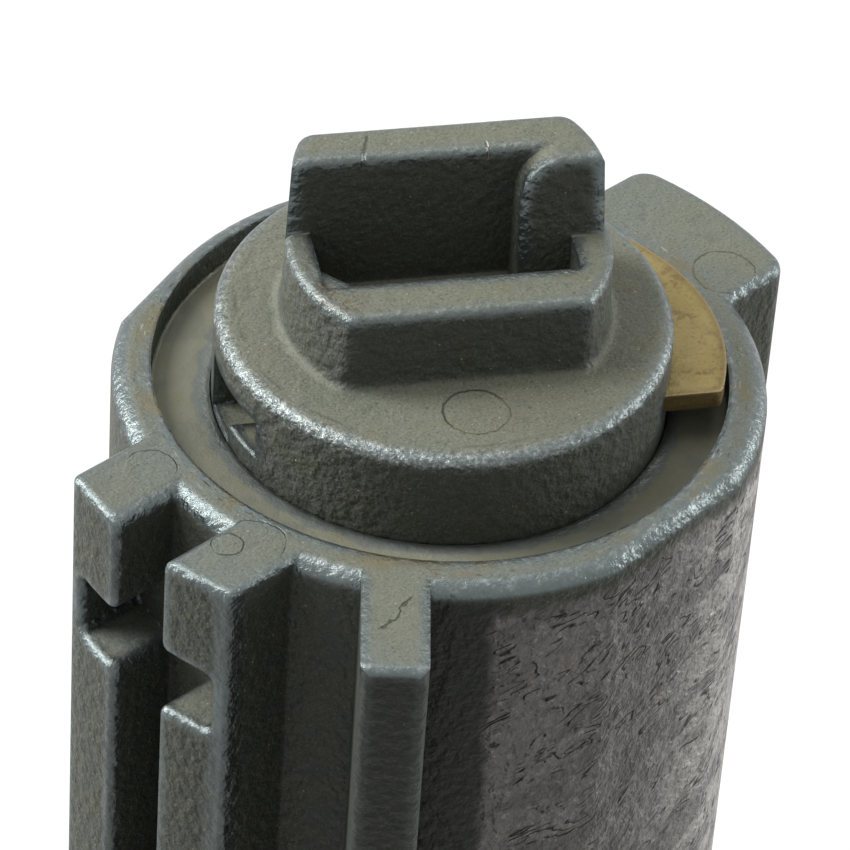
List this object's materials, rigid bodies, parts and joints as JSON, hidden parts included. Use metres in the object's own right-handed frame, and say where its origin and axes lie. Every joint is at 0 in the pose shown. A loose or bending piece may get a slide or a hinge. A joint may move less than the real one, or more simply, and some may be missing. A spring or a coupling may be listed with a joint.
{
  "type": "ignition lock cylinder",
  "caption": "Ignition lock cylinder: die-cast housing with locating lug and notched guide ribs, turning rotor with slotted drive tang, sliding brass plate, wafers and key shutter.",
  "frame": {"origin": "on the turning axis, in the plane of the head's seating shoulder", "axes": "+Z along the turning axis from the key end to the drive tang, +X through the middle of the locating lug"},
  "size_m": [0.038, 0.038, 0.0713],
  "materials": {
    "zinc_casting": "as-cast grey zinc, dull, worn bright on its edges",
    "brass_plate": "tarnished stamped brass",
    "brass_wafer": "plain stamped brass",
    "spring_steel": "drawn spring wire",
    "bright_steel": "plated drawn sheet",
    "shutter_steel": "plain steel"
  },
  "bodies": {
    "housing": {"housing": "zinc_casting"},
    "rotor": {"rotor": "zinc_casting", "face_cap": "bright_steel", "shutter_pin": "shutter_steel", "shutter_spring": "spring_steel", "plate_spring": "spring_steel", "wafer_spring_1": "spring_steel", "wafer_spring_2": "spring_steel", "wafer_spring_3": "spring_steel", "wafer_spring_4": "spring_steel", "wafer_spring_5": "spring_steel", "wafer_spring_6": "spring_steel", "wafer_spring_7": "spring_steel"},
    "retaining_plate": {"retaining_plate": "brass_plate"},
    "key_shutter": {"key_shutter": "shutter_steel"},
    "wafer_1": {"wafer_1": "brass_wafer"},
    "wafer_2": {"wafer_2": "brass_wafer"},
    "wafer_3": {"wafer_3": "brass_wafer"},
    "wafer_4": {"wafer_4": "brass_wafer"},
    "wafer_5": {"wafer_5": "brass_wafer"},
    "wafer_6": {"wafer_6": "brass_wafer"},
    "wafer_7": {"wafer_7": "brass_wafer"}
  },
  "joints": [
    {"name": "rotor_turn", "type": "hinge", "parent": "housing", "child": "rotor", "pos_m": [0, 0, 0], "axis": [0, 0, 1], "range_deg": [0, 100]},
    {"name": "plate_slide", "type": "slide", "parent": "rotor", "child": "retaining_plate", "axis": [0.8508, -0.5255, 0], "range_m": [-0.00275, 0], "stiffness_N_per_m": 600, "springref_m": 0.0015, "deforming": ["plate_spring"]},
    {"name": "shutter_swing", "type": "hinge", "parent": "rotor", "child": "key_shutter", "pos_m": [0.00123, 0.002, -0.0031], "axis": [-0.8508, 0.5255, 0], "range_deg": [0, 85], "stiffness_Nm_per_rad": 0.0006, "springref_deg": -20.05, "deforming": ["shutter_spring"]},
    {"name": "wafer_1_slide", "type": "slide", "parent": "rotor", "child": "wafer_1", "axis": [-0.8508, 0.5255, 0], "range_m": [-0.0013, 0], "deforming": ["wafer_spring_1"]},
    {"name": "wafer_2_slide", "type": "slide", "parent": "rotor", "child": "wafer_2", "axis": [-0.8508, 0.5255, 0], "range_m": [-0.0013, 0], "deforming": ["wafer_spring_2"]},
    {"name": "wafer_3_slide", "type": "slide", "parent": "rotor", "child": "wafer_3", "axis": [-0.8508, 0.5255, 0], "range_m": [-0.0013, 0], "deforming": ["wafer_spring_3"]},
    {"name": "wafer_4_slide", "type": "slide", "parent": "rotor", "child": "wafer_4", "axis": [-0.8508, 0.5255, 0], "range_m": [-0.0013, 0], "deforming": ["wafer_spring_4"]},
    {"name": "wafer_5_slide", "type": "slide", "parent": "rotor", "child": "wafer_5", "axis": [-0.8508, 0.5255, 0], "range_m": [-0.0013, 0], "deforming": ["wafer_spring_5"]},
    {"name": "wafer_6_slide", "type": "slide", "parent": "rotor", "child": "wafer_6", "axis": [-0.8508, 0.5255, 0], "range_m": [-0.0013, 0], "deforming": ["wafer_spring_6"]},
    {"name": "wafer_7_slide", "type": "slide", "parent": "rotor", "child": "wafer_7", "axis": [-0.8508, 0.5255, 0], "range_m": [-0.0013, 0], "deforming": ["wafer_spring_7"]}
  ]
}
